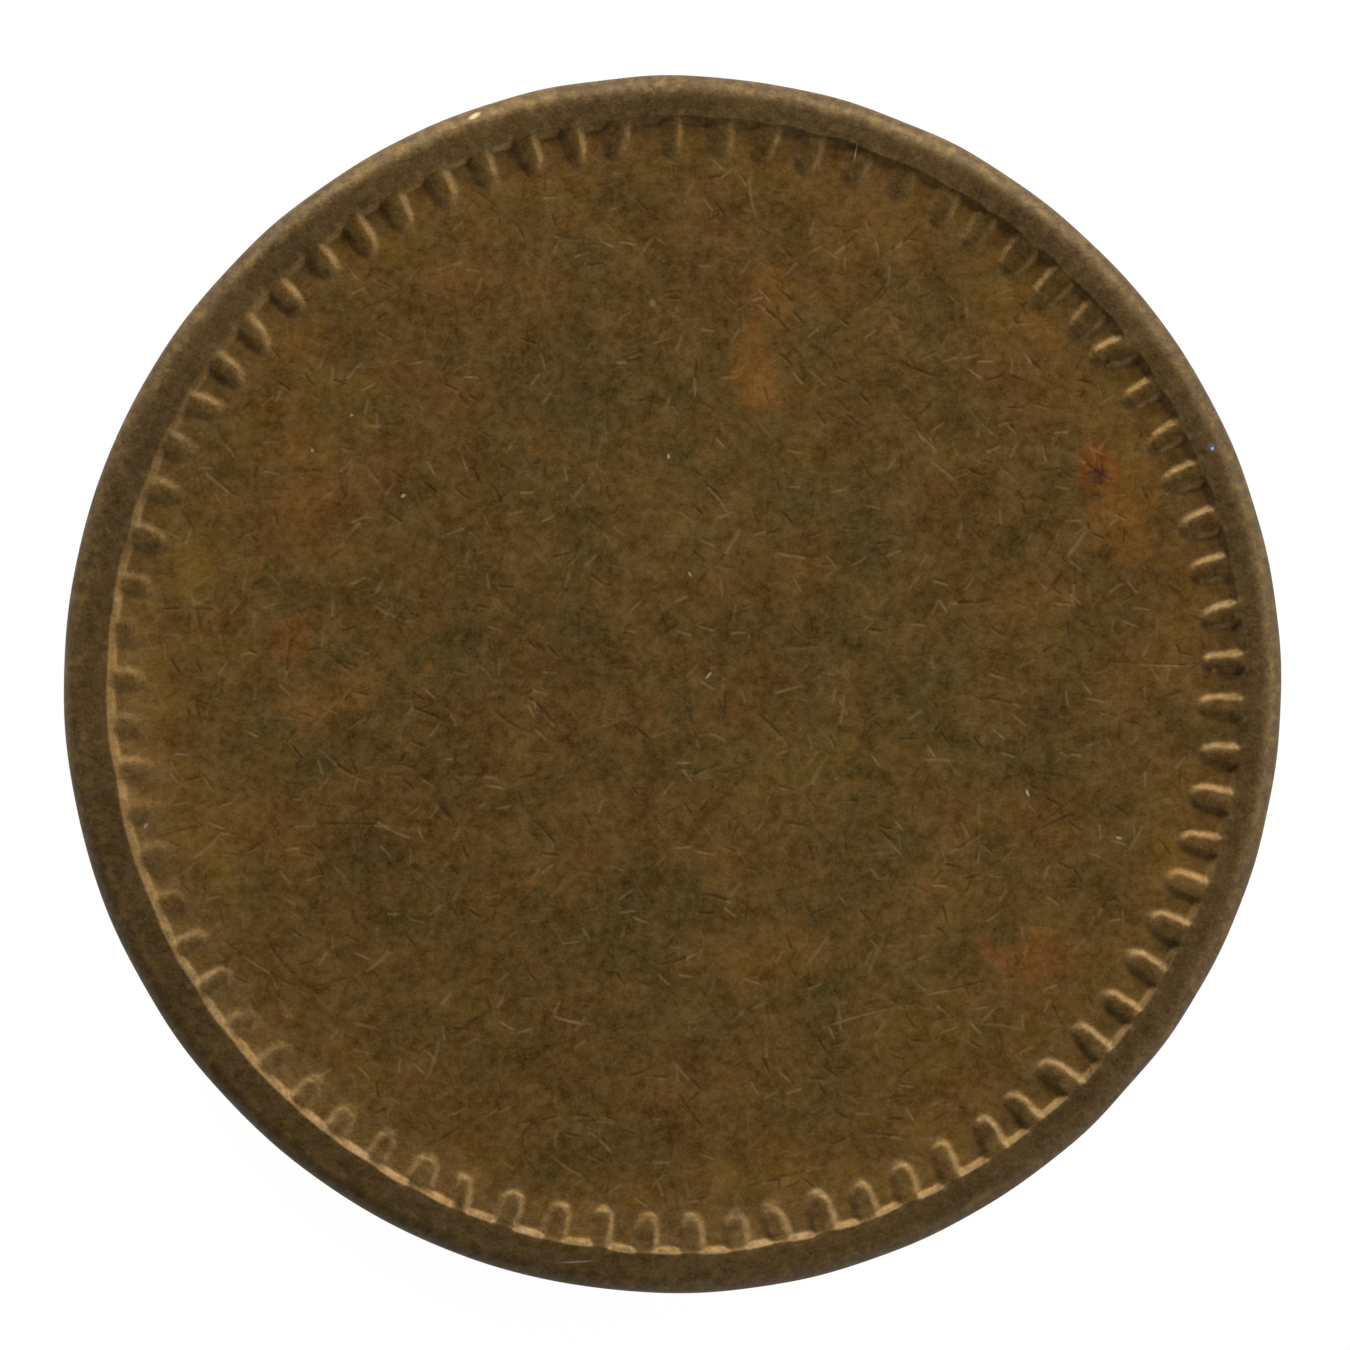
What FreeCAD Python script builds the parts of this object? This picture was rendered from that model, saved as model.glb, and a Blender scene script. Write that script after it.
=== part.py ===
"""Transit token: one struck disc of brass with the same blank, bordered face on both sides.

The token is a single piece of metal.  Its outer edge is turned about the token's own axis.
The dies met the blank slightly off its centre, so everything they pressed - the sunken
field, the rim's inner wall and the ring of denticles - shares a second axis, the die axis,
which stands strike_offset away from the first along +X.

The body is built as its upper half, standing on the mid plane, and is then mirrored there,
so that the reverse is the obverse's twin.  Its Placement lifts it until the lower rim rests
on z = 0.
"""
import FreeCAD
import Part
import Sketcher

import math
import os

# Driving dimensions, in millimetres and degrees: alias, value, meaning.
DIMENSIONS = [
    ("token_diameter", 23.0, "outside diameter over the edge"),
    ("token_thickness", 1.6, "height over the two rim crests"),
    ("edge_round", 0.42, "radius of the shoulder between crest and edge"),
    ("rim_width", 0.77, "from the edge to where the crest turns into the inner wall"),
    ("rim_relief", 0.15, "height of the crest above the field"),
    ("rim_draft", 40.0, "lean of the rim's inner wall from the vertical"),
    ("crest_round", 0.06, "radius between the crest and the inner wall"),
    ("foot_round", 0.04, "radius between the inner wall and the field"),
    ("strike_offset", 0.062, "distance of the die axis from the token's axis, along +X"),
    ("denticle_count", 74, "denticles round each face"),
    ("denticle_length", 0.71, "from the inner wall's foot to the denticle's inner end"),
    ("denticle_width", 0.48, "across the denticle, on the field"),
    ("denticle_relief", 0.1, "height of the denticle above the field"),
    ("denticle_draft", 45.0, "lean of the denticle's sides from the vertical"),
    ("denticle_round", 0.04, "radius along the denticle's upper edges"),
    ("denticle_root", 0.3, "length of the denticle that is buried in the rim"),
]

# Expressions that more than one feature uses; radii are from the die axis.
HALF_HEIGHT = "Dimensions.token_thickness / 2"
FIELD_HEIGHT = "Dimensions.token_thickness / 2 - Dimensions.rim_relief"
CREST_RADIUS = "Dimensions.token_diameter / 2 - Dimensions.rim_width"
FOOT_RADIUS = f"{CREST_RADIUS} - Dimensions.rim_relief * tan(Dimensions.rim_draft * 1 deg)"
DIE_AXIS = ("x", "Dimensions.strike_offset")

# Two lengths closer than this are the same length, in millimetres.
SAME = 1e-6


def make_sheet(doc):
    """The spreadsheet that holds every driving dimension under its alias."""
    sheet = doc.addObject("Spreadsheet::Sheet", "Dimensions")
    for row, (alias, value, meaning) in enumerate(DIMENSIONS, start=1):
        sheet.set(f"A{row}", alias)
        sheet.set(f"B{row}", str(value))
        sheet.set(f"C{row}", meaning)
        sheet.setAlias(f"B{row}", alias)
    doc.recompute()
    return sheet


def half_height(sheet):
    """Height of the rim's crest above the mid plane."""
    return sheet.token_thickness / 2


def field_height(sheet):
    """Height of the sunken field above the mid plane."""
    return half_height(sheet) - sheet.rim_relief


def crest_radius(sheet):
    """Where the rim's inner wall meets its crest, from the die axis."""
    return sheet.token_diameter / 2 - sheet.rim_width


def wall_radius(sheet, above_field):
    """Radius of the rim's inner wall at a height above the field, from the die axis."""
    below_crest = sheet.rim_relief - above_field
    return crest_radius(sheet) - below_crest * math.tan(math.radians(sheet.rim_draft))


def origin_plane(body, role):
    """The body's own origin plane with that role, such as XY_Plane."""
    return next(plane for plane in body.Origin.OriginFeatures if plane.Role == role)


def new_sketch(body, name, role, *offsets):
    """A sketch on an origin plane of the body, moved in it by (axis, expression) pairs."""
    sketch = body.newObject("Sketcher::SketchObject", name)
    sketch.AttachmentSupport = [(origin_plane(body, role), "")]
    sketch.MapMode = "FlatFace"
    for axis, expression in offsets:
        sketch.setExpression(f".AttachmentOffset.Base.{axis}", expression)
    return sketch


def add_line(sketch, start, end):
    """A straight line between two points of the sketch plane."""
    return sketch.addGeometry(
        Part.LineSegment(FreeCAD.Vector(*start, 0), FreeCAD.Vector(*end, 0))
    )


def relate(sketch, kind, *elements):
    """A geometric constraint between elements of the sketch."""
    sketch.addConstraint(Sketcher.Constraint(kind, *elements))


def bind(sketch, name, expression, kind, *elements):
    """A dimension of the sketch, named and tied to an expression of the sheet."""
    index = sketch.addConstraint(Sketcher.Constraint(kind, *elements))
    sketch.renameConstraint(index, name)
    sketch.setExpression(f"Constraints.{name}", expression)


def circles_at(feature, radius, height):
    """Names of the feature's circular edges of that radius at that height."""
    names = []
    for number, edge in enumerate(feature.Shape.Edges, start=1):
        if not isinstance(edge.Curve, Part.Circle):
            continue
        if abs(edge.Curve.Radius - radius) > SAME:
            continue
        if abs(edge.Curve.Center.z - height) < SAME:
            names.append(f"Edge{number}")
    return names


def crest_edges(feature, centre, radius, height):
    """Names of the edges that lie at that height, inside that radius from the centre."""
    names = []
    for number, edge in enumerate(feature.Shape.Edges, start=1):
        box = edge.BoundBox
        if abs(box.ZMin - height) > SAME or abs(box.ZMax - height) > SAME:
            continue
        middle = edge.valueAt((edge.FirstParameter + edge.LastParameter) / 2)
        if math.hypot(middle.x - centre, middle.y) < radius - SAME:
            names.append(f"Edge{number}")
    return names


def add_fillet(body, name, base, edges, radius):
    """A fillet of the base's named edges, with its radius tied to the sheet."""
    fillet = body.newObject("PartDesign::Fillet", name)
    fillet.Base = (base, edges)
    fillet.setExpression("Radius", radius)
    body.Document.recompute()
    return fillet


def require_change(before, after, sign):
    """Stops unless the volume grew (sign +1) or shrank (sign -1) from one feature to the next."""
    change = after.Shape.Volume - before.Shape.Volume
    if change * sign <= 0:
        raise RuntimeError(f"{after.Name} changed the volume by {change:.4f} mm3")


def add_blank(body, sheet):
    """The upper half of the plain disc, with the rounded shoulder that edging rolled on it."""
    outline = new_sketch(body, "BlankOutline", "XY_Plane")
    radius = sheet.token_diameter / 2
    up = FreeCAD.Vector(0, 0, 1)
    circle = outline.addGeometry(Part.Circle(FreeCAD.Vector(), up, radius))
    relate(outline, "Coincident", circle, 3, -1, 1)
    bind(outline, "Outside", "Dimensions.token_diameter", "Diameter", circle, 2 * radius)
    disc = body.newObject("PartDesign::Pad", "Blank")
    disc.Profile = outline
    disc.setExpression("Length", HALF_HEIGHT)
    body.Document.recompute()
    upper = circles_at(disc, radius, half_height(sheet))
    shoulder = add_fillet(body, "Shoulder", disc, upper, "Dimensions.edge_round")
    require_change(disc, shoulder, -1)
    return shoulder


def sketch_recess(body, sheet):
    """Half section of what the die pressed down: the field, the drafted wall and the air above."""
    section = new_sketch(body, "RecessSection", "XZ_Plane", DIE_AXIS)
    foot = wall_radius(sheet, 0)
    crest = crest_radius(sheet)
    floor = field_height(sheet)
    top = half_height(sheet)
    above = top + sheet.rim_relief
    field = add_line(section, (0, floor), (foot, floor))
    wall = add_line(section, (foot, floor), (crest, top))
    riser = add_line(section, (crest, top), (crest, above))
    lid = add_line(section, (crest, above), (0, above))
    axis = add_line(section, (0, above), (0, floor))
    relate(section, "Coincident", field, 2, wall, 1)
    relate(section, "Coincident", wall, 2, riser, 1)
    relate(section, "Coincident", riser, 2, lid, 1)
    relate(section, "Coincident", lid, 2, axis, 1)
    relate(section, "Coincident", axis, 2, field, 1)
    relate(section, "Horizontal", field)
    relate(section, "Vertical", riser)
    relate(section, "Horizontal", lid)
    relate(section, "PointOnObject", lid, 2, -2)
    relate(section, "PointOnObject", field, 1, -2)
    bind(section, "Foot", FOOT_RADIUS, "DistanceX", -1, 1, field, 2, foot)
    bind(section, "Floor", FIELD_HEIGHT, "DistanceY", -1, 1, field, 2, floor)
    bind(section, "Crest", CREST_RADIUS, "DistanceX", -1, 1, wall, 2, crest)
    bind(section, "Top", HALF_HEIGHT, "DistanceY", -1, 1, wall, 2, top)
    bind(section, "Air", "Dimensions.rim_relief", "DistanceY", riser, 1, riser, 2, above - top)
    return section


def add_recess(body, sheet, blank):
    """The sunken field, turned about the die axis, with the wall's crest and foot rounded."""
    section = sketch_recess(body, sheet)
    recess = body.newObject("PartDesign::Groove", "Recess")
    recess.Profile = section
    recess.ReferenceAxis = (section, ["V_Axis"])
    recess.Angle = 360
    body.Document.recompute()
    require_change(blank, recess, -1)
    upper = circles_at(recess, crest_radius(sheet), half_height(sheet))
    crest = add_fillet(body, "CrestRound", recess, upper, "Dimensions.crest_round")
    require_change(recess, crest, -1)
    lower = circles_at(crest, wall_radius(sheet, 0), field_height(sheet))
    foot = add_fillet(body, "FootRound", crest, lower, "Dimensions.foot_round")
    require_change(crest, foot, 1)
    return foot


def sketch_denticle(body, sheet):
    """Outline of the denticle on +X, on the field: a bar with a round inner end."""
    outline = new_sketch(body, "DenticleOutline", "XY_Plane", DIE_AXIS, ("z", FIELD_HEIGHT))
    half = sheet.denticle_width / 2
    root = wall_radius(sheet, 0) + sheet.denticle_root
    centre = wall_radius(sheet, 0) - sheet.denticle_length + half
    up = FreeCAD.Vector(0, 0, 1)
    circle = Part.Circle(FreeCAD.Vector(centre, 0, 0), up, half)
    end = outline.addGeometry(Part.ArcOfCircle(circle, math.pi / 2, 3 * math.pi / 2))
    right = add_line(outline, (centre, -half), (root, -half))
    back = add_line(outline, (root, -half), (root, half))
    left = add_line(outline, (root, half), (centre, half))
    relate(outline, "Tangent", end, 2, right, 1)
    relate(outline, "Coincident", right, 2, back, 1)
    relate(outline, "Coincident", back, 2, left, 1)
    relate(outline, "Tangent", left, 2, end, 1)
    relate(outline, "Horizontal", right)
    relate(outline, "Vertical", back)
    relate(outline, "Horizontal", left)
    relate(outline, "PointOnObject", end, 3, -1)
    bind(outline, "HalfWidth", "Dimensions.denticle_width / 2", "Radius", end, half)
    inner = f"{FOOT_RADIUS} - Dimensions.denticle_length + Dimensions.denticle_width / 2"
    bind(outline, "InnerEnd", inner, "DistanceX", -1, 1, end, 3, centre)
    buried = f"{FOOT_RADIUS} + Dimensions.denticle_root"
    bind(outline, "Root", buried, "DistanceX", -1, 1, right, 2, root)
    return outline


def add_denticles(body, sheet, recess):
    """The ring of denticles: one drafted bar, patterned about the die axis, then rounded."""
    outline = sketch_denticle(body, sheet)
    denticle = body.newObject("PartDesign::Pad", "Denticle")
    denticle.Profile = outline
    denticle.setExpression("Length", "Dimensions.denticle_relief")
    denticle.setExpression("TaperAngle", "-Dimensions.denticle_draft")
    body.Document.recompute()
    require_change(recess, denticle, 1)
    ring = body.newObject("PartDesign::PolarPattern", "DenticleRing")
    ring.Originals = [denticle]
    ring.Axis = (outline, ["N_Axis"])
    ring.Angle = 360
    ring.setExpression("Occurrences", "Dimensions.denticle_count")
    body.Tip = ring
    body.Document.recompute()
    require_change(denticle, ring, 1)
    relief = sheet.denticle_relief
    inside = wall_radius(sheet, relief)
    edges = crest_edges(ring, sheet.strike_offset, inside, field_height(sheet) + relief)
    rounded = add_fillet(body, "DenticleRound", ring, edges, "Dimensions.denticle_round")
    require_change(ring, rounded, -1)
    return rounded


def add_reverse(body, obverse):
    """The other half of the token: the whole upper half mirrored in the mid plane."""
    reverse = body.newObject("PartDesign::Mirrored", "Reverse")
    reverse.TransformMode = "Whole shape"
    reverse.MirrorPlane = (origin_plane(body, "XY_Plane"), [""])
    body.Tip = reverse
    body.Document.recompute()
    require_change(obverse, reverse, 1)
    return reverse


def make_token(doc, sheet):
    """The token's body, lifted so that its lower rim rests on z = 0."""
    body = doc.addObject("PartDesign::Body", "Token")
    body.Label = "token"
    blank = add_blank(body, sheet)
    recess = add_recess(body, sheet, blank)
    obverse = add_denticles(body, sheet, recess)
    add_reverse(body, obverse)
    body.setExpression(".Placement.Base.z", HALF_HEIGHT)
    doc.recompute()
    return body


def check_document(doc):
    """Stops if any object of the document is in error or holds no valid shape."""
    for thing in doc.Objects:
        if "Invalid" in thing.State or "Error" in thing.State:
            raise RuntimeError(f"{thing.Name} is {thing.State}")
        if not thing.isDerivedFrom("Part::Feature"):
            continue
        if thing.Shape.isNull() or not thing.Shape.isValid():
            raise RuntimeError(f"{thing.Name} has no valid shape")


def check_token(body, sheet):
    """Stops unless the token is one solid that stands on z = 0 at its nominal height."""
    if len(body.Shape.Solids) != 1:
        raise RuntimeError(f"{body.Label} is {len(body.Shape.Solids)} solids")
    corners = [vertex.Z for vertex in body.Shape.Vertexes]
    if abs(min(corners)) > SAME or abs(max(corners) - sheet.token_thickness) > SAME:
        raise RuntimeError(f"{body.Label} spans z {min(corners)} to {max(corners)}")


def main():
    doc = FreeCAD.newDocument("TransitToken")
    sheet = make_sheet(doc)
    body = make_token(doc, sheet)
    check_document(doc)
    check_token(body, sheet)
    os.makedirs("parts", exist_ok=True)
    body.Shape.exportStep(os.path.join("parts", f"{body.Label}.step"))
    print(f"{body.Label}: {body.Shape.Volume:.3f} mm3, {len(body.Shape.Faces)} faces")


main()
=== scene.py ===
"""Transit token: the look of one worn, tarnished brass token lying on a pale table.

The token is one closed mesh, built here as rings of points that run from the middle of the
obverse over the rim and down the edge to the middle of the reverse.  Lengths are in
millimetres until the mesh is made.  Clock angles are in degrees clockwise from 12 o'clock,
as seen from above with +Y at the top.  The metal is one material, laid on in layers from the
tarnish up to the loose specks and fibres; painted shade and painted highlights are among the layers.
"""

import math

import bpy
import numpy as np
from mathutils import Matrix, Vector


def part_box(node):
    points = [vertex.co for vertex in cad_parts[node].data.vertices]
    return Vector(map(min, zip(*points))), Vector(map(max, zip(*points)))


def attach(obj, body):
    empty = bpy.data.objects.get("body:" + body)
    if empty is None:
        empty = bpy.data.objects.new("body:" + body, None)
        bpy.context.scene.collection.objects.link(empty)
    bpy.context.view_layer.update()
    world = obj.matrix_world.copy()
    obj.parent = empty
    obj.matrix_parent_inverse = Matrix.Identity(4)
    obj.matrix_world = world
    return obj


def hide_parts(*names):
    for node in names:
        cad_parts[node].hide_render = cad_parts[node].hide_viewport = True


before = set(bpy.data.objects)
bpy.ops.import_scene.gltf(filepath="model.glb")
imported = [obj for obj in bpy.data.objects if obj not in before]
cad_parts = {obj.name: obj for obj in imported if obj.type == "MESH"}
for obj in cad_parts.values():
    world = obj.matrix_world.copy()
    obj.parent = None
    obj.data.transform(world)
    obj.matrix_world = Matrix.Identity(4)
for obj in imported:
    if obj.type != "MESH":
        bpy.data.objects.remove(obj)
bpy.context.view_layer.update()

METRE = 1000.0
TURN = 2.0 * math.pi

# Overall sizes come from the CAD node; the rim and the relief repeat the sizes struck there.
# Only the sag is added: how far the worn rim falls away before its shoulder.
LOW, HIGH = (Vector(corner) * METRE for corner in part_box("token"))
RADIUS = (HIGH.x - LOW.x) / 2
THICKNESS = HIGH.z - LOW.z
SHOULDER = 0.42
RIM_WIDTH = 0.77
RIM_SAG = 0.012
RELIEF = 0.15
WALL_RUN = RELIEF * math.tan(math.radians(40))
DIE_OFFSET = 0.062
FLAT_END = RADIUS - SHOULDER
CREST = RADIUS - RIM_WIDTH
FOOT = CREST - WALL_RUN

# The border.  Length, from the wall's foot, and half width reach the middle of a bar's flank.
# A bar is rooted ROOT outward of the foot, and its inner end is stretched from a half circle.
DENTICLES = 74
FIRST_DENTICLE = 92.4
DENTICLE_LENGTH = 0.63
DENTICLE_HALF_WIDTH = 0.185
DENTICLE_RELIEF = 0.10
FLANK = 0.11
ROOT = 0.1
END_STRETCH = 1.5
BORDER_START = 9.5
BORDER_FULL = 10.15

# Where the hand-cut border runs ahead of even pitch (clock degree: degrees ahead).
DRIFT = {
    0: -0.3, 40: -0.3, 72: -0.1, 92: 0.0, 110: -0.3, 135: -0.6, 145: -0.5, 152: 0.1,
    158: -0.1, 168: -1.0, 190: -1.9, 215: -1.6, 255: -1.15, 270: -1.95, 292: -1.5,
    320: -1.1, 355: -1.1, 360: -0.3,
}
# How fully the metal filled the die round the border (clock degree: share of full relief).
STRIKE = {
    0: 0.75, 20: 0.6, 35: 0.9, 60: 1.0, 120: 1.0, 180: 0.9, 205: 0.9, 222: 0.65, 245: 0.5,
    262: 0.3, 285: 0.5, 300: 0.75, 330: 0.95, 360: 0.75,
}

# Tarnish colours, linear.
OLIVE = (0.096, 0.0600, 0.0142)
BROWN = (0.138, 0.0660, 0.0142)
GOLD = (0.162, 0.0920, 0.0140)
ORANGE = (0.215, 0.0900, 0.0150)
DARK_OLIVE = (0.064, 0.0440, 0.0120)
RUST = (0.200, 0.0680, 0.0135)
PLUM = (0.060, 0.0220, 0.0150)
HANDLED = (0.063, 0.0360, 0.0098)
CROWNS = (0.074, 0.0450, 0.0135)
# Pale colour of the border's valleys, laid thicker toward 7 o'clock as painted light.
VALLEY_AND_LIGHT = (0.160, 0.0915, 0.0290)
# Fresh brass of rubbed edges and scratches, also the colour of painted highlights in the border.
FRESH_AND_HIGHLIGHT = (0.300, 0.2050, 0.1000)
GILT = (0.250, 0.1500, 0.0350)
# Dark dirt of scratches and cuts, and also the colour of the painted shade.
DIRT_AND_SHADE = (0.028, 0.0170, 0.0075)

# Stains on the obverse: clock, distance out, length, width, bearing of the long side, colour, strength.
STAINS = (
    (338, 6.0, 3.6, 3.0, 140, DARK_OLIVE, 0.41),
    (51, 4.7, 3.4, 2.0, 110, DARK_OLIVE, 0.31),
    (100, 6.9, 3.8, 2.8, 25, DARK_OLIVE, 0.44),
    (238, 6.4, 3.6, 2.0, 110, DARK_OLIVE, 0.34),
    (140, 4.1, 3.4, 2.0, 100, DARK_OLIVE, 0.31),
    (183, 8.9, 3.0, 2.2, 100, DARK_OLIVE, 0.41),
    (195, 4.9, 6.0, 2.0, 95, DARK_OLIVE, 0.24),
    (257, 6.9, 1.2, 0.9, 30, DARK_OLIVE, 0.34),
    (258, 2.6, 6.5, 2.8, 85, BROWN, 0.45),
    (309, 8.3, 3.4, 2.8, 40, GOLD, 0.30),
    (41, 9.6, 3.0, 2.0, 130, GOLD, 0.35),
    (146, 8.1, 3.4, 2.2, 70, GOLD, 0.35),
    (180, 7.3, 4.4, 1.8, 90, BROWN, 0.40),
    (118, 2.7, 4.6, 2.2, 85, GOLD, 0.22),
    (160, 5.5, 4.6, 1.2, 90, ORANGE, 0.18),
    (283, 9.3, 3.0, 1.1, 10, GOLD, 0.60),
    (253, 9.2, 4.0, 1.3, 165, GOLD, 0.45),
    (296, 7.7, 3.6, 3.2, 30, RUST, 0.22),
    (68, 9.2, 2.4, 1.7, 5, ORANGE, 0.62),
    (63, 9.0, 1.5, 1.2, 0, RUST, 0.75),
    (69, 8.5, 1.4, 0.3, 170, ORANGE, 0.55),
    (64, 8.9, 0.55, 0.40, 70, PLUM, 0.60),
    (14, 7.7, 1.8, 1.0, 165, ORANGE, 0.42),
    (15, 6.1, 2.1, 1.1, 165, ORANGE, 0.50),
    (128, 8.4, 2.6, 0.9, 95, RUST, 0.50),
    (124, 8.3, 1.4, 0.2, 96, ORANGE, 0.50),
    (277, 7.3, 1.3, 1.2, 20, RUST, 0.50),
    (268, 6.4, 2.2, 1.2, 80, ORANGE, 0.38),
    (46, 9.6, 1.2, 0.6, 135, ORANGE, 0.35),
    (312, 9.6, 1.6, 0.5, 45, ORANGE, 0.30),
    (170, 9.4, 2.6, 0.8, 85, GOLD, 0.35),
)
# Cuts and pits on the obverse: clock, distance out, length, width, bearing, how dark.
CUTS = (
    (241, 4.9, 0.66, 0.17, 142, 1.0),
    (353, 1.2, 0.75, 0.13, 160, 0.7),
    (191, 7.9, 0.50, 0.10, 172, 0.8),
    (222, 9.0, 0.75, 0.05, 120, 0.5),
    (20, 9.2, 1.30, 0.05, 92, 0.6),
    (17, 8.8, 0.25, 0.12, 85, 0.5),
    (327, 5.0, 0.90, 0.08, 150, 0.4),
    (305, 6.8, 1.00, 0.08, 145, 0.5),
    (62, 10.0, 0.20, 0.12, 30, 0.8),
    (75, 8.4, 0.45, 0.06, 95, 0.5),
)
# Dust and fibres on the obverse, and in the last row a painted glint on the shoulder: clock, distance
# out, length, width, bearing, colour.
DUST_AND_GLINT = (
    (76, 0.7, 0.24, 0.05, 40, (0.50, 0.42, 0.32)),
    (359, 4.3, 0.13, 0.08, 0, (0.50, 0.42, 0.31)),
    (305, 6.2, 0.14, 0.09, 60, (0.49, 0.42, 0.31)),
    (9, 2.1, 0.14, 0.06, 150, (0.47, 0.39, 0.30)),
    (107, 7.0, 0.19, 0.07, 160, (0.56, 0.47, 0.36)),
    (109, 8.9, 0.17, 0.09, 100, (0.42, 0.36, 0.27)),
    (255, 10.28, 0.15, 0.09, 30, (0.35, 0.30, 0.22)),
    (19, 10.6, 0.45, 0.04, 10, (0.41, 0.35, 0.26)),
    (189.5, 11.03, 0.90, 0.045, 87, (0.23, 0.19, 0.15)),
    (357, 7.2, 0.20, 0.16, 0, (0.22, 0.19, 0.06)),
    (66.2, 11.09, 0.20, 0.17, 120, (0.05, 0.10, 0.22)),
    (66.4, 11.10, 0.09, 0.08, 0, (0.42, 0.50, 0.58)),
    (303, 8.1, 0.08, 0.08, 0, (0.43, 0.37, 0.27)),
    (310, 7.9, 0.08, 0.08, 0, (0.43, 0.37, 0.27)),
    # A painted golden glint on the lit upper left of the shoulder, not a speck.
    (340.8, 11.35, 0.34, 0.13, 60, (0.52, 0.38, 0.19)),
)

# Across one pitch, columns crowd where a denticle's flanks are: shares of the pitch.
COLUMN_SHARES = (
    -0.5, -0.43, -0.38, -0.335, -0.295, -0.255, -0.215, -0.175, -0.13, -0.065,
    0.0, 0.065, 0.13, 0.175, 0.215, 0.255, 0.295, 0.335, 0.38, 0.43,
)


def smooth(value, low, high):
    """0 below low, 1 above high, and a smooth step between; low may be above high."""
    t = np.clip((value - low) / (high - low), 0.0, 1.0)
    return t * t * (3.0 - 2.0 * t)


def round_clock(table, clock):
    """The table's value at each clock angle, in degrees."""
    return np.interp(np.mod(clock, 360.0), list(table), list(table.values()))


def wave(angle, count, seed, size):
    """A smooth random closed wave round the token: count harmonics, about size high."""
    rng = np.random.default_rng(seed)
    total = np.zeros_like(angle)
    for harmonic in range(1, count + 1):
        phase = rng.uniform(0.0, TURN)
        total += rng.normal() * np.sin(harmonic * angle + phase)
    return size * total / math.sqrt(count / 2)


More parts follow.
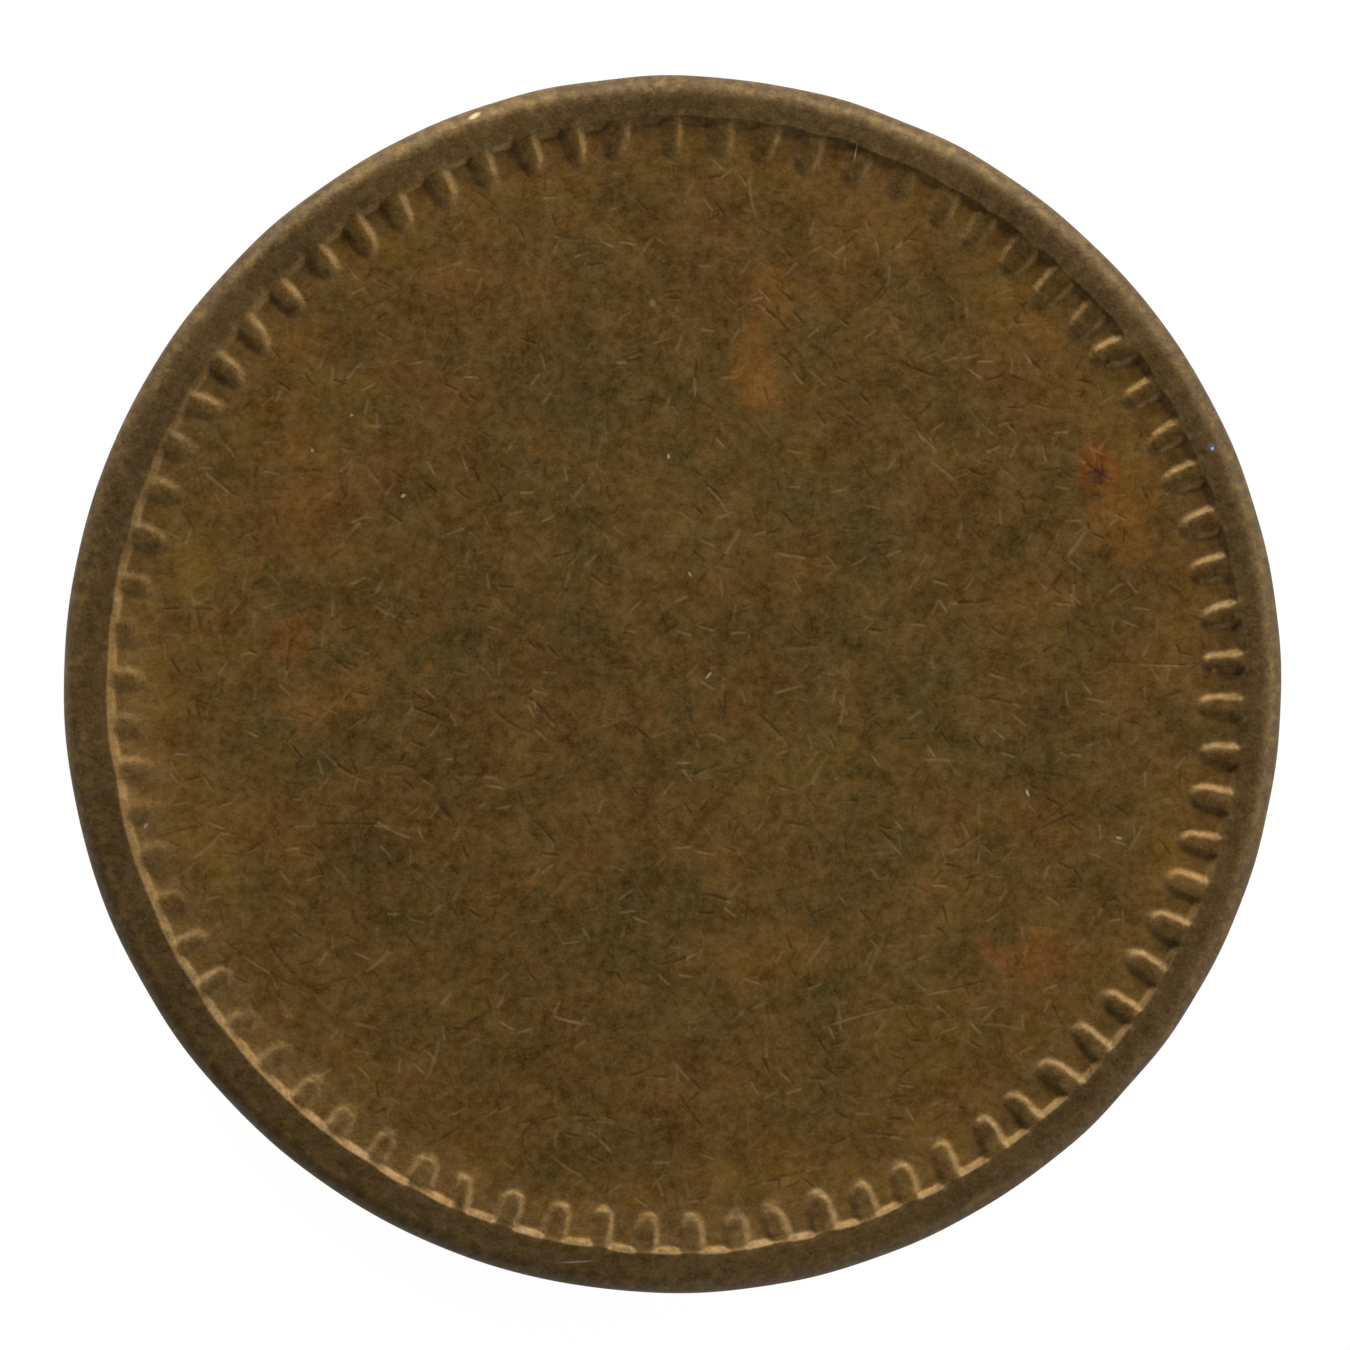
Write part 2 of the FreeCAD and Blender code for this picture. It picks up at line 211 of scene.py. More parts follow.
class Border:
    """The ring of denticles of one face: where each stands, and how high, wide and long."""

    def __init__(self, seed, turn, strike_low):
        rng = np.random.default_rng(seed)
        pitch = 360.0 / DENTICLES
        clock = FIRST_DENTICLE + pitch * np.arange(DENTICLES)
        clock = clock + round_clock(DRIFT, clock - turn) + rng.normal(0.0, 0.12, DENTICLES)
        self.centre = np.sort(np.mod(90.0 - clock, 360.0)) * TURN / 360.0
        here = 90.0 - np.degrees(self.centre)
        fill = round_clock(STRIKE, here - turn)
        self.fill = np.clip(fill + rng.normal(0.0, 0.07, DENTICLES), strike_low, 1.1)
        self.half = DENTICLE_HALF_WIDTH * (1.0 + rng.normal(0.0, 0.11, DENTICLES))
        self.length = DENTICLE_LENGTH * (1.0 + rng.normal(0.0, 0.055, DENTICLES))
        self.length += 0.8 * DIE_OFFSET * np.cos(self.centre)
        self.lean = rng.normal(0.0, 0.07, DENTICLES)
        self.seed = seed
        self.turn = turn

    def columns(self, shares):
        """Angles of the mesh columns, and for each the number of its denticle."""
        before = self.centre - np.roll(self.centre, 1)
        before[0] += TURN
        after = np.roll(before, -1)
        angles = []
        owners = []
        for k, centre in enumerate(self.centre):
            for share in shares:
                angles.append(centre + share * (before[k] if share < 0 else after[k]))
                owners.append(k)
        return np.array(angles), np.array(owners)

    def wall(self, angle):
        """At each angle, the radius of the wall's foot and how far the wall runs outward."""
        weak = 1.0 - np.clip(round_clock(STRIKE, 90.0 - np.degrees(angle) - self.turn), 0.0, 1.0)
        run = WALL_RUN * (1.0 + 0.7 * weak)
        foot = CREST - run + wave(angle, 60, self.seed + 1, 0.012) - 0.013 * np.sin(angle)
        return foot, run

    def outline(self, rho, angle, owner, foot):
        """Distance from the bar's outline (negative inside), its half width, and its taper."""
        side = rho * (angle - self.centre[owner])
        inward = foot + ROOT - rho
        side = side - self.lean[owner] * inward
        length = self.length[owner] * (0.7 + 0.3 * np.clip(self.fill[owner], 0.0, 1.0)) + ROOT
        half = self.half[owner] * (1.2 - 0.25 * inward / length)
        beyond = np.maximum(inward - length + END_STRETCH * self.half[owner], 0.0) / END_STRETCH
        long_ripple = np.sin(rho * TURN / 0.29 + 7.0 * owner)
        ripple = long_ripple + 0.6 * np.sin(rho * TURN / 0.13 + owner)
        distance = np.hypot(side, beyond) - half + 0.006 * ripple
        taper = 1.0 + 0.4 * smooth(inward, 0.35, 0.05) - 0.3 * smooth(inward, 0.2, length)
        return distance, half, taper

    def heights(self, rho, angle, owner):
        """Height above the field, and the masks of what is raised, of rubbing with painted highlight,
        and of painted shade there.
        """
        fill = self.fill[owner]
        flank = FLANK * (1.0 + 0.9 * (1.0 - np.clip(fill, 0.0, 1.0)))
        foot, run = self.wall(angle)
        distance, half, taper = self.outline(rho, angle, owner, foot)
        slope = np.clip(0.5 - distance / flank, 0.0, 1.0)
        bar = 0.6 * slope + 0.4 * smooth(distance, 0.62 * flank, -0.62 * flank)
        crown = 1.0 - 0.42 * np.clip((distance + half) / (half + 0.5 * flank), 0.0, 1.0) ** 2
        denticle = DENTICLE_RELIEF * fill * bar * crown * taper
        rise = np.clip((rho - foot) / run, 0.0, 1.0)
        sweep = smooth(rho, foot - 0.06, foot + run + 0.05)
        wall = RELIEF * (0.65 * rise + 0.35 * sweep) + 0.01 * smooth(rho, foot - 0.3, foot)

        # Bar and wall run into each other with a soft edge, and the field stays flat.
        sharp = 28.0
        both = np.logaddexp(denticle * sharp, wall * sharp) / sharp
        both = both - math.log(2.0) / sharp * np.exp(-(denticle + wall) / 0.02)
        height = np.clip(both, 0.0, RELIEF)
        raised = np.maximum(smooth(height, 0.3 * RELIEF, 0.62 * RELIEF), 0.8 * bar)

        # Rubbed flanks of the bars, partly a painted highlight, and a painted highlight along the wall
        # between the bars.
        wear_and_highlight = 0.5 * np.exp(-(((distance + 0.05 * flank) / 0.055) ** 2)) * fill
        bay = smooth(distance, 0.0, 0.14)
        along = np.exp(-(((rho - foot - 0.5 * run) / 0.055) ** 2))
        along = along * np.clip(0.7 + wave(angle, 90, self.seed + 2, 0.5), 0.1, 1.2)
        wear_and_highlight = np.maximum(wear_and_highlight, 0.7 * bay * along)

        # Painted shade: a dark line round the foot of each bar and along the wall's foot, where shade
        # falls.
        painted_shade = 0.4 * np.exp(-(((distance - 0.55 * flank) / 0.04) ** 2)) * fill
        painted_shade = np.maximum(painted_shade, 0.5 * np.exp(-(((rho - foot + 0.02) / 0.03) ** 2)))
        painted_shade = painted_shade * (1.0 - smooth(height, 0.06, 0.12))
        return height, raised, wear_and_highlight, painted_shade


class Rings:
    """Collects the rings of points and stitches each to the one before."""

    def __init__(self):
        self.rings = []
        self.points = []
        self.marks = []
        self.path = []
        self.count = 0

    def add(self, angle, rho, z, shift, path, marks):
        """One ring about a centre shifted along +X; marks are raised, rubbed with painted highlight,
        and painted shade.
        """
        self.rings.append((self.count, angle))
        x = rho * np.cos(angle) + shift
        y = rho * np.sin(angle)
        ones = np.ones_like(angle)
        self.points.append(np.stack([x, y, z * ones], axis=1))
        self.marks.append(np.stack([mark * ones for mark in marks], axis=1))
        self.path.append(path)
        self.count += len(angle)

    def faces(self):
        """Triangles and quads between the rings, and for each the number of its inner ring."""
        found = []
        inner = []
        for number in range(len(self.rings) - 1):
            (first, a), (second, b) = self.rings[number], self.rings[number + 1]
            new = stitch(a, b, first, second)
            found.extend(new)
            inner.extend([number] * len(new))
        return found, inner


def stitch(a, b, first, second):
    """Faces between two closed rings of angles whose points start at those two numbers."""
    many, more = len(a), len(b)
    if many == 1:
        return [(first, second + j, second + (j + 1) % more) for j in range(more)]
    if more == 1:
        return [(first + i, second, first + (i + 1) % many) for i in range(many)]
    if many == more and abs(a[0] - b[0]) < 1e-9:
        steps = [(i, (i + 1) % many) for i in range(many)]
        return [(first + i, second + i, second + after, first + after) for i, after in steps]
    found = []
    i = j = 0
    while i < many or j < more:
        next_a = a[(i + 1) % many] + TURN * ((i + 1) // many)
        next_b = b[(j + 1) % more] + TURN * ((j + 1) // more)
        if j >= more or (i < many and next_a <= next_b):
            found.append((first + i % many, second + j % more, first + (i + 1) % many))
            i += 1
        else:
            found.append((first + i % many, second + j % more, second + (j + 1) % more))
            j += 1
    return found


def even(count, start):
    """Evenly spaced column angles from a start angle."""
    return start + TURN * np.arange(count) / count


def dents(rho, angle, seed, count):
    """Depth of the shallow round dents scattered over a field, at points of one ring."""
    x = rho * np.cos(angle)
    y = rho * np.sin(angle)
    rng = np.random.default_rng(seed)
    total = np.zeros_like(x)
    deepest, reach = 0.006, 9.6
    for _ in range(count):
        far = BORDER_START * math.sqrt(rng.uniform())
        turn = rng.uniform(0.0, TURN)
        size = rng.uniform(0.15, 0.7)
        gone = ((x - far * math.cos(turn)) ** 2 + (y - far * math.sin(turn)) ** 2) / size**2
        total += deepest * rng.uniform(0.3, 1.0) * np.exp(-gone)
    return total * (1.0 if rho < reach else 0.0)


def face_rings(border, spacing, columns_step, border_radii):
    """Rings of one face from its middle to the crest: (angle, rho, height, marks)."""
    full, owner = border.columns(COLUMN_SHARES)
    full, owner = full[::columns_step], owner[::columns_step]
    start = full[0]
    clean = (0.0, 0.0, 0.0)
    rings = [(even(1, start), 0.0, np.zeros(1), clean)]
    inner_limit = border_radii[0] - 0.04
    steps = int(round(inner_limit / spacing))
    for step in range(1, steps + 1):
        rho = inner_limit * step / steps
        count = min(len(full) // 2, max(6, int(TURN * rho / spacing)))
        angle = even(count, start)
        rings.append((angle, rho, np.zeros(count), clean))
    for rho in border_radii:
        height, *marks = border.heights(rho, full, owner)
        rings.append((full, rho, height, marks))
    return rings


def shoulder(step):
    """Ten degrees a step: the bend, and its radius, rise over the bend's centre, and path."""
    bend = math.radians(10 * step)
    rho = FLAT_END + SHOULDER * math.sin(bend)
    rise = (SHOULDER - RIM_SAG) * math.cos(bend)
    return bend, rho, rise, FLAT_END + SHOULDER * bend


def build_rings():
    """All rings of the token, and the number of the ring where the reverse's chart begins."""
    inner_end = FOOT - DENTICLE_LENGTH
    radii = list(np.arange(inner_end - 0.12, inner_end + 0.26, 0.03))
    radii += list(np.linspace(inner_end + 0.32, FOOT - 0.08, 4))
    radii += list(np.arange(FOOT - 0.05, CREST + 0.06, 0.02))
    top = Border(seed=11, turn=0.0, strike_low=0.2)
    top_rings = face_rings(top, 0.12, 1, radii)
    low = Border(seed=23, turn=140.0, strike_low=0.35)
    low_radii = radii[:13:2] + radii[13:17:2] + radii[17::2]
    low_rings = face_rings(low, 0.32, 2, low_radii)

    # The obverse, its flat rim and its shoulder.
    rings = Rings()
    floor = THICKNESS - RELIEF
    for angle, rho, height, marks in top_rings:
        rings.add(angle, rho, floor + height - dents(rho, angle, 5, 40), DIE_OFFSET, rho, marks)
    half = top_rings[-1][0][::2]
    ding = wave(half, 40, 31, 0.006)
    for share in (0.25, 0.6, 1.0):
        rho = radii[-1] + share * (FLAT_END - radii[-1])
        sag = RIM_SAG * share**2
        rings.add(half, rho, THICKNESS - sag, DIE_OFFSET * (1 - share), rho, (1.0, 0.0, 0.0))
    for step in range(1, 10):
        bend, rho, rise, path = shoulder(step)
        z = THICKNESS - SHOULDER + rise
        # Painted shade on the down-turned shoulder, growing as it bends and darkest toward 5 o'clock,
        # away from the main lamps.
        dark = 1.1 * smooth(10.0 * step, 25.0, 65.0) * (0.62 - 0.38 * np.sin(half - 0.5))
        rings.add(half, rho + ding * math.sin(bend), z, 0.0, path, (1.0, 0.15, dark))
    corner = path
    middle = len(rings.rings) + 1

    # The edge.
    side = THICKNESS - 2 * SHOULDER
    for step in range(1, 5):
        z = THICKNESS - SHOULDER - side * step / 4
        path = corner + side * min(step, 4 - step) / 4
        # Painted shade on the edge, darker in its lowest ring by the table.
        rings.add(half, RADIUS + ding, z, 0.0, path, (1.0, 0.3, 0.5 if step < 4 else 0.9))

    # The reverse, back to its middle.
    for step in range(8, -1, -1):
        bend, rho, rise, path = shoulder(step)
        # Painted shade on the reverse's shoulder as it bends toward the table.
        dark = 0.9 * smooth(10.0 * step, 25.0, 65.0)
        rho = rho + ding * math.sin(bend)
        rings.add(half, rho, SHOULDER - rise, 0.0, path, (1.0, 0.6, dark))
    for share in (0.6, 0.25):
        rho = low_radii[-1] + share * (FLAT_END - low_radii[-1])
        sag = RIM_SAG * share**2
        rings.add(half, rho, sag, DIE_OFFSET * (1 - share), rho, (1.0, 0.0, 0.0))
    for angle, rho, height, marks in reversed(low_rings):
        rings.add(angle, rho, RELIEF - height + dents(rho, angle, 8, 30), DIE_OFFSET, rho, marks)
    return rings, middle


def make_token():
    """The token's mesh object, with its UV map and its three mark attributes."""
    rings, middle = build_rings()
    faces, inner = rings.faces()
    points = np.concatenate(rings.points) / METRE
    marks = np.concatenate(rings.marks)
    mesh = bpy.data.meshes.new("struck_token")
    mesh.from_pydata(points.tolist(), [], faces)
    mesh.update()
    for index, name in enumerate(("raised", "wear_and_highlight", "painted_shade")):
        attribute = mesh.attributes.new(name, "FLOAT", "POINT")
        attribute.data.foreach_set("value", np.ascontiguousarray(marks[:, index], np.float32))
    lay_out(mesh, rings, inner, middle)
    mesh.polygons.foreach_set("use_smooth", [True] * len(mesh.polygons))
    token = bpy.data.objects.new("struck_token", mesh)
    bpy.context.scene.collection.objects.link(token)
    return token


def lay_out(mesh, rings, inner, middle):
    """Two round charts, the obverse's larger, with the seam along the middle of the edge."""
    angle = np.concatenate([a for _, a in rings.rings])
    path = np.concatenate([np.full(len(a), p) for (_, a), p in zip(rings.rings, rings.path)])
    longest = path.max()
    loops = np.empty(len(mesh.loops), dtype=np.int32)
    mesh.loops.foreach_get("vertex_index", loops)
    sides = np.repeat(np.array(inner) < middle, [len(p.vertices) for p in mesh.polygons])
    chart_radius = np.where(sides, 0.375, 0.19)
    centre = np.where(sides, 0.385, 0.80)
    reach = path[loops] / longest * chart_radius
    turn = np.where(sides, angle[loops], -angle[loops])
    uv = np.stack([centre + reach * np.cos(turn), centre + reach * np.sin(turn)], axis=1)
    layer = mesh.uv_layers.new(name="OFBake")
    layer.data.foreach_set("uv", uv.astype(np.float32).ravel())


class Nodes:
    """Adds shader nodes to a tree and hands back their output sockets."""

    def __init__(self, tree):
        self.tree = tree

    def add(self, kind, values, output=0, **settings):
        """A node with those settings; values fill its inputs, by name or number."""
        node = self.tree.nodes.new(kind)
        for name, setting in settings.items():
            setattr(node, name, setting)
        for name, value in values.items():
            if isinstance(value, bpy.types.NodeSocket):
                self.tree.links.new(value, node.inputs[name])
            else:
                node.inputs[name].default_value = value
        return node.outputs[output]

    def math(self, operation, a, b=0.0, c=0.0):
        return self.add("ShaderNodeMath", {0: a, 1: b, 2: c}, operation=operation)

    def vector(self, operation, a, b=(0.0, 0.0, 0.0), output=0):
        return self.add("ShaderNodeVectorMath", {0: a, 1: b}, output, operation=operation)

    def ramp(self, value, low, high, start=0.0, end=1.0):
        """Smooth step of a value from start at low to end at high."""
        values = {"Value": value, 1: low, 2: high, 3: start, 4: end}
        return self.add("ShaderNodeMapRange", values, interpolation_type="SMOOTHSTEP")

    def noise(self, place, scale, detail=3.0, roughness=0.6):
        """Noise about 0, in -0.5 to 0.5."""
        values = {"Vector": place, "Scale": scale, "Detail": detail, "Roughness": roughness}
        return self.math("SUBTRACT", self.add("ShaderNodeTexNoise", values), 0.5)

    def mix(self, factor, a, b, blend="MIX"):
        """A colour mixed from a to b; each is a socket or a plain colour."""
        a, b = (end if isinstance(end, bpy.types.NodeSocket) else (*end, 1.0) for end in (a, b))
        values = {0: factor, 6: a, 7: b}
        return self.add("ShaderNodeMix", values, 2, data_type="RGBA", blend_type=blend)

    def spot(self, place, clock, out, length, width, tilt, soft, ragged=0.0):
        """Mask of an oval patch at a clock angle, out mm from the middle, tilted on the clock."""
        bearing = math.radians(clock)
        centre = (out * math.sin(bearing), out * math.cos(bearing), 0.0)
        values = {
            "Vector": place,
            "Location": centre,
            "Rotation": (0.0, 0.0, math.radians(90.0 - tilt)),
            "Scale": (length / 2, width / 2, 1.0),
        }
        local = self.add("ShaderNodeMapping", values, vector_type="TEXTURE")
        distance = self.math("ADD", self.vector("LENGTH", local, output=1), ragged)
        return self.ramp(distance, 1.0, 1.0 - soft)

    def strokes(self, place, cell, length, width, share, bend):
        """Mask of short scratches at random, one to a cell at most, and a random number of each."""
        node = self.tree.nodes.new("ShaderNodeTexVoronoi")
        node.voronoi_dimensions = "2D"
        self.tree.links.new(place, node.inputs["Vector"])
        node.inputs["Scale"].default_value = 1.0 / cell
        centre, colour = node.outputs["Position"], node.outputs["Color"]
        pick = self.tree.nodes.new("ShaderNodeSeparateColor")
        self.tree.links.new(colour, pick.inputs[0])
        local = self.vector("SUBTRACT", place, centre)
        turned = self.add(
            "ShaderNodeVectorRotate",
            {"Vector": local, "Angle": self.math("MULTIPLY", pick.outputs[0], TURN)},
            rotation_type="Z_AXIS",
        )
        parts = self.tree.nodes.new("ShaderNodeSeparateXYZ")
        self.tree.links.new(turned, parts.inputs[0])
        along, across = parts.outputs[0], parts.outputs[1]
        curve = self.math("MULTIPLY", self.math("MULTIPLY", along, along), bend)
        across = self.math("ADD", across, curve)
        thin = self.ramp(self.math("ABSOLUTE", across), width / 2, 0.0)
        short = self.ramp(self.math("ABSOLUTE", along), length / 2, length / 4)
        chosen = self.ramp(pick.outputs[1], 1.0 - share, 1.0 - 0.7 * share)
        mask = self.math("MULTIPLY", self.math("MULTIPLY", thin, short), chosen)
        return mask, pick.outputs[2]


class Brass(Nodes):
    """The token's metal: each layer is a method that lays its colours over self.colour."""

    def __init__(self, tree):
        super().__init__(tree)
        coordinates = self.add("ShaderNodeTexCoord", {}, "Object")
        self.place = self.vector("MULTIPLY", coordinates, (METRE, METRE, METRE))
        self.plan = self.vector("MULTIPLY", self.place, (1.0, 1.0, 0.0))
        from_die = self.vector("SUBTRACT", self.plan, (DIE_OFFSET, 0.0, 0.0))
        self.out = self.vector("LENGTH", from_die, output=1)
        height = self.add("ShaderNodeSeparateXYZ", {0: self.place}, 2)
        self.upper = self.ramp(height, THICKNESS / 2, THICKNESS * 0.6)
        self.raised = self.add("ShaderNodeAttribute", {}, "Fac", attribute_name="raised")
        self.wear_and_highlight = self.add("ShaderNodeAttribute", {}, "Fac", attribute_name="wear_and_highlight")
        self.painted_shade = self.add("ShaderNodeAttribute", {}, "Fac", attribute_name="painted_shade")

    def cloud(self, shift, scale, detail, roughness=0.6):
        """A noise of its own, taken from a shifted place."""
        return self.noise(self.vector("ADD", self.place, shift), scale, detail, roughness)

    def lay(self, mask, colour, blend="MIX"):
        """Lays a colour over what is there, where the mask says."""
        self.colour = self.mix(mask, self.colour, colour, blend)

    def tarnish(self):
        """Olive to brown, with a golden veil and orange flecks."""
        self.halo = self.ramp(self.out, 6.5, 9.9)
        self.patches = self.noise(self.place, 0.26, 3.0, 0.55)
        self.hue = self.cloud((31.0, 17.0, 5.0), 0.6, 5.0, 0.72)
        wide = self.cloud((5.0, 27.0, 3.0), 0.20, 2.0, 0.5)
        warm = self.math("MULTIPLY_ADD", self.hue, 3.0, 0.45)
        warm = self.math("MULTIPLY_ADD", wide, 0.6, warm)
        warm = self.math("MULTIPLY_ADD", self.halo, 0.2, warm)
        self.colour = self.mix(warm, OLIVE, BROWN)
        veil = self.cloud((12.0, 41.0, 9.0), 0.8, 4.0, 0.65)
        self.lay(self.ramp(veil, 0.04, 0.24, 0.0, 0.36), GOLD)
        flecks = self.cloud((7.0, 3.0, 1.0), 2.0, 3.0, 0.6)
        self.lay(self.ramp(flecks, 0.10, 0.28, 0.0, 0.5), ORANGE)

    def stains(self):
        """The placed stains, with ragged outlines; the large ones fade out more slowly."""
        ragged = self.math("MULTIPLY", self.noise(self.plan, 1.1, 6.0, 0.75), 2.7)
        for clock, far, length, width, bearing, stain, strength in STAINS:
            soft = 0.9 if length > 2.7 else 0.6
            mask = self.spot(self.plan, clock, far, length, width, bearing, soft, ragged)
            mask = self.math("MULTIPLY", self.math("MULTIPLY", mask, strength), self.upper)
            self.lay(mask, stain)

    def strike(self):
        """The border and the rim: paler valleys, thicker toward 7 o'clock as painted light; dark crowns
        and rim; rubbed edges, partly painted highlight; painted shade.
        """
        self.rim = self.ramp(self.out, CREST - 0.04, CREST + 0.04)
        uneven_out = self.math("MULTIPLY_ADD", self.hue, 1.5, self.out)
        border = self.ramp(uneven_out, BORDER_START, BORDER_FULL)
        # Paler valleys: their own colour, laid more thickly toward 7 o'clock as painted light.
        towards = (math.sin(math.radians(215)), math.cos(math.radians(215)), 0.0)
        across = self.vector("DOT_PRODUCT", self.plan, towards, 1)
        painted_light_side = self.ramp(across, -6.0, 8.0, 0.25, 0.65)
        self.lay(self.math("MULTIPLY", border, painted_light_side), VALLEY_AND_LIGHT)
        cloud = self.cloud((9.0, 2.0, 14.0), 1.2, 4.0, 0.65)
        near_border = self.ramp(self.out, 8.6, 9.8)
        ring = self.math("MULTIPLY", near_border, self.ramp(cloud, -0.08, 0.16, 0.0, 0.5))
        self.lay(ring, self.mix(0.35, GOLD, ORANGE))
        self.lay(self.math("MULTIPLY", self.raised, 0.50), CROWNS)
        self.lay(self.math("MULTIPLY", self.rim, 0.85), HANDLED)
        # Rubbed edges in fresh brass; on the border's flanks and wall this is partly a painted
        # highlight.
        rub = self.ramp(self.noise(self.place, 3.5, 4.0, 0.7), -0.14, 0.16, 0.08, 0.45)
        self.lay(self.math("MULTIPLY", self.wear_and_highlight, rub), FRESH_AND_HIGHLIGHT)
        spangle = self.ramp(self.cloud((4.0, 6.0, 21.0), 4.5, 3.0, 0.7), -0.06, 0.16)
        on_shoulder = self.ramp(self.out, CREST + 0.25, RADIUS - 0.2, 0.0, 0.30)
        self.lay(self.math("MULTIPLY", spangle, on_shoulder), GILT)
        # Painted shade, darker along the feet of the bars and the wall and on the down-turned edge.
        self.lay(self.math("MULTIPLY", self.painted_shade, 0.30), DIRT_AND_SHADE)

    def mottle(self):
        """Light and dark mottling, then a fine sparkle; both are calmer on the rim."""
        self.middle = self.noise(self.place, 1.5, 4.0, 0.6)
        self.fine = self.noise(self.place, 6.0, 2.0, 0.7)
        self.grain = self.noise(self.place, 20.0, 3.0, 0.75)
        tone = self.math("MULTIPLY_ADD", self.patches, 0.6, 1.0)
        calm = self.math("MULTIPLY_ADD", self.rim, -0.4, 0.6)
        tone = self.math("MULTIPLY_ADD", self.math("MULTIPLY", self.middle, calm), 1.0, tone)
        tone = self.math("MULTIPLY_ADD", self.halo, 0.03, tone)
        self.lay(1.0, self.add("ShaderNodeCombineColor", {0: tone, 1: tone, 2: tone}), "MULTIPLY")
        speck = self.math("MULTIPLY_ADD", self.fine, 1.1, self.math("MULTIPLY", self.grain, 1.3))
        speck = self.math("MULTIPLY_ADD", self.middle, 0.3, speck)
        calm = self.math("MULTIPLY_ADD", self.rim, -0.03, 0.105)
        speck = self.math("MULTIPLY", speck, calm)
        green = self.math("MULTIPLY", speck, 0.7)
        blue = self.math("MULTIPLY", speck, 0.33)
        self.lay(1.0, self.add("ShaderNodeCombineColor", {0: speck, 1: green, 2: blue}), "ADD")

    def scratches(self):
        """Random hair lines, marks and long scratches, some bright and some dark; then the cuts."""
        hair, pick = self.strokes(self.plan, 0.42, 0.40, 0.10, 0.9, 0.3)
        place = self.vector("ADD", self.plan, (3.7, 9.1, 0.0))
        mark, _ = self.strokes(place, 1.1, 1.0, 0.12, 0.7, 0.2)
        place = self.vector("ADD", self.plan, (13.1, 5.3, 0.0))
        long, _ = self.strokes(place, 3.4, 2.6, 0.09, 0.5, 0.05)
        scratch = self.math("MAXIMUM", self.math("MULTIPLY", hair, 0.9), mark)
        scratch = self.math("MAXIMUM", scratch, self.math("MULTIPLY", long, 0.8))
        patchy = self.ramp(self.cloud((2.0, 8.0, 4.0), 0.9, 3.0), -0.18, 0.10)
        inside = self.ramp(self.out, 10.3, BORDER_START, 0.25)
        self.scratch = self.math("MULTIPLY", scratch, self.math("MULTIPLY", patchy, inside))
        lighter = self.math("MULTIPLY", self.scratch, self.ramp(pick, 0.45, 0.55))
        darker = self.math("SUBTRACT", self.scratch, lighter)
        self.lay(self.math("MULTIPLY", lighter, 0.32), FRESH_AND_HIGHLIGHT)
        self.lay(self.math("MULTIPLY", darker, 0.52), DIRT_AND_SHADE)
        cuts = 0.0
        for clock, far, length, width, bearing, dark in CUTS:
            mask = self.spot(self.plan, clock, far, length, width, bearing, 0.9)
            cuts = self.math("MULTIPLY_ADD", mask, dark, cuts)
        cuts = self.math("MULTIPLY", cuts, self.upper)
        self.lay(self.math("MULTIPLY", cuts, 0.75), DIRT_AND_SHADE)

    def dust_and_glint(self):
        """The placed specks and fibres, and the painted glint on the shoulder."""
        for clock, far, length, width, bearing, colour in DUST_AND_GLINT:
            mask = self.spot(self.plan, clock, far, length, width, bearing, 0.7)
            mask = self.math("MULTIPLY", self.math("MULTIPLY", mask, 0.75), self.upper)
            self.lay(mask, colour)

    def shade(self):
        """The shader: half metal, less so on the rim, and rougher and less metallic where shade is
        painted, with a fine bump.
        """
        links = self.tree.links
        shader = self.tree.nodes.new("ShaderNodeBsdfPrincipled")
        shader.inputs["Specular IOR Level"].default_value = 0.20
        links.new(self.colour, shader.inputs["Base Color"])
        rough = self.math("MULTIPLY_ADD", self.middle, 0.25, 0.50)
        rough = self.math("MULTIPLY_ADD", self.painted_shade, 0.15, rough)
        links.new(rough, shader.inputs["Roughness"])
        metal = self.math("MULTIPLY_ADD", self.rim, -0.27, 0.55)
        metal = self.math("MULTIPLY_ADD", self.painted_shade, -0.35, metal)
        links.new(metal, shader.inputs["Metallic"])
        relief = self.math("MULTIPLY_ADD", self.fine, 0.6, self.math("MULTIPLY", self.grain, 0.35))
        lumps = self.noise(self.place, 5.0, 3.0, 0.6)
        at_border = self.ramp(self.out, BORDER_START, BORDER_FULL, 0.0, 1.3)
        relief = self.math("ADD", relief, self.math("MULTIPLY", lumps, at_border))
        relief = self.math("MULTIPLY_ADD", self.scratch, -0.9, relief)
        bump = self.tree.nodes.new("ShaderNodeBump")
        bump.inputs["Strength"].default_value = 1.0
        bump.inputs["Distance"].default_value = 0.007 / METRE
        links.new(relief, bump.inputs["Height"])
        links.new(bump.outputs[0], shader.inputs["Normal"])
        output = self.tree.nodes.new("ShaderNodeOutputMaterial")
        links.new(shader.outputs[0], output.inputs[0])


def tarnished_brass():
    """Dark brown tarnish, mottled and scratched, thinner on what is rubbed, partly as painted
    highlight, with painted shade in corners and on the down-turned edge.
    """
    material = bpy.data.materials.new("token_brass")
    material.use_nodes = True
    material.node_tree.nodes.clear()
    brass = Brass(material.node_tree)
    brass.tarnish()
    brass.stains()
    brass.strike()
    brass.mottle()
    brass.scratches()
    brass.dust_and_glint()
    brass.shade()
    return material


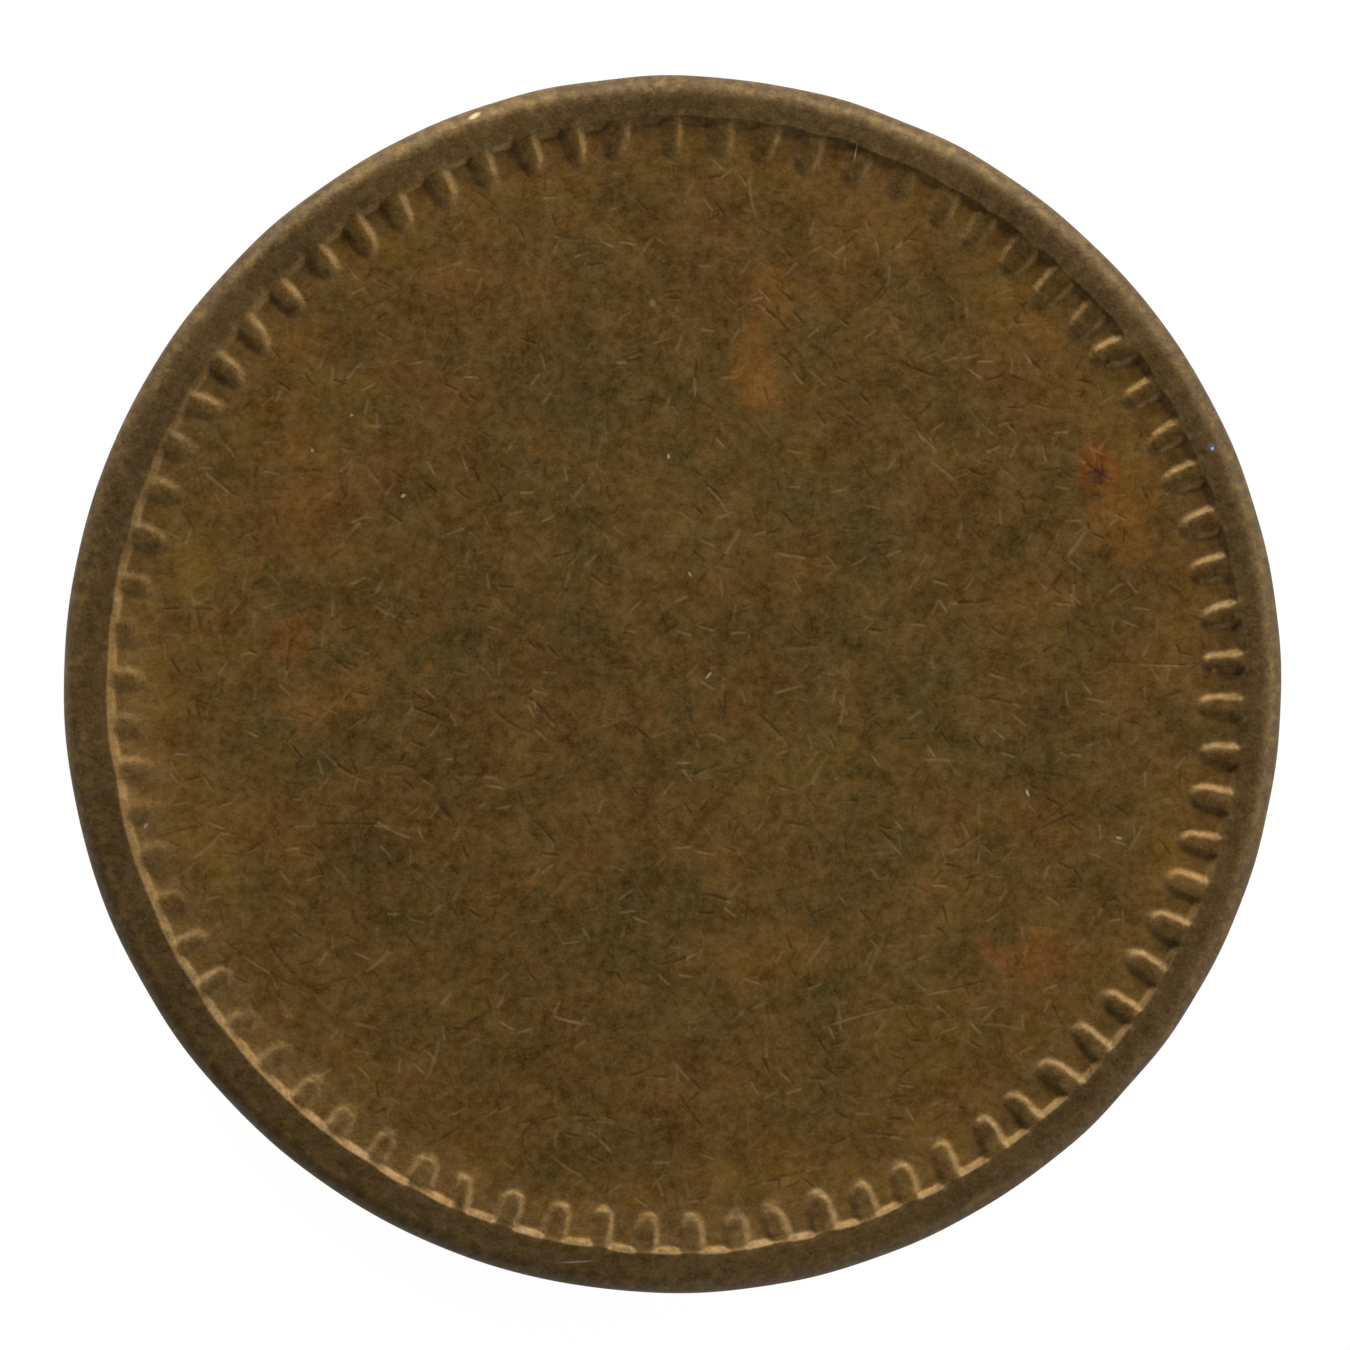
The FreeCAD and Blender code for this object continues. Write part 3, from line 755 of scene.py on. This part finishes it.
def make_floor():
    """A pale table top, a hair below the token.  It glows, so that it shows nearly white."""
    mesh = bpy.data.meshes.new("table_top")
    reach = 2.5
    gap = 0.00002
    corners = [(-reach, -reach, 0), (reach, -reach, 0), (reach, reach, 0), (-reach, reach, 0)]
    mesh.from_pydata(corners, [], [(0, 1, 2, 3)])
    floor = bpy.data.objects.new("table_top", mesh)
    bpy.context.scene.collection.objects.link(floor)
    floor.location.z = -gap
    material = bpy.data.materials.new("pale_table")
    material.use_nodes = True
    shader = material.node_tree.nodes["Principled BSDF"]
    shader.inputs["Base Color"].default_value = (0.05, 0.05, 0.05, 1.0)
    shader.inputs["Roughness"].default_value = 0.9
    shader.inputs["Specular IOR Level"].default_value = 0.0
    shader.inputs["Emission Color"].default_value = (1.0, 1.0, 1.0, 1.0)
    shader.inputs["Emission Strength"].default_value = 0.98
    mesh.materials.append(material)


def add_light(name, clock, power):
    """A square soft box at a clock angle, low over the table and facing the token."""
    data = bpy.data.lights.new(name, "AREA")
    data.shape = "SQUARE"
    data.size = 0.30
    data.energy = power
    light = bpy.data.objects.new(name, data)
    distance = 0.5
    bearing, rise = math.radians(clock), math.radians(21.0)
    level = distance * math.cos(rise)
    height = distance * math.sin(rise)
    light.location = (level * math.sin(bearing), level * math.cos(bearing), height)
    light.rotation_euler = (-light.location).to_track_quat("-Z", "Y").to_euler()
    bpy.context.scene.collection.objects.link(light)


def light_scene():
    """Four soft boxes, most of the light from either side of 12 o'clock, and a dim room.

    The room is white up to a little over the horizon, where it carries on the table top.
    """
    add_light("key_right", 30.0, 3.0)
    add_light("key_left", 335.0, 3.1)
    add_light("side", 88.0, 1.45)
    add_light("fill", 155.0, 0.65)
    world = bpy.data.worlds.new("room")
    world.use_nodes = True
    nodes = Nodes(world.node_tree)
    direction = nodes.add("ShaderNodeTexCoord", {}, "Generated")
    rise = nodes.add("ShaderNodeSeparateXYZ", {0: direction}, 2)
    white, dim = 1.0, 0.06
    strength = nodes.ramp(rise, 0.045, 0.11, white, dim)
    background = world.node_tree.nodes["Background"]
    background.inputs[0].default_value = (1.0, 1.0, 1.0, 1.0)
    world.node_tree.links.new(strength, background.inputs[1])
    bpy.context.scene.world = world


def place_camera():
    """Straight above, framed so that the token fills nine tenths of a square picture."""
    data = bpy.data.cameras.new("camera")
    data.sensor_width = 36.0
    data.lens = 220.0
    data.clip_start = 0.01
    data.clip_end = 10.0
    camera = bpy.data.objects.new("camera", data)
    field = 25.43
    distance = field / METRE / 2 * data.lens / (data.sensor_width / 2)
    right, up = 0.047, 0.177
    camera.location = (right / METRE, up / METRE, THICKNESS / METRE + distance)
    bpy.context.scene.collection.objects.link(camera)
    bpy.context.scene.camera = camera
    bpy.context.scene.view_settings.view_transform = "Standard"


place_camera()
light_scene()
make_floor()
token = make_token()
token.data.materials.append(tarnished_brass())
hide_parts("token")
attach(token, "root")
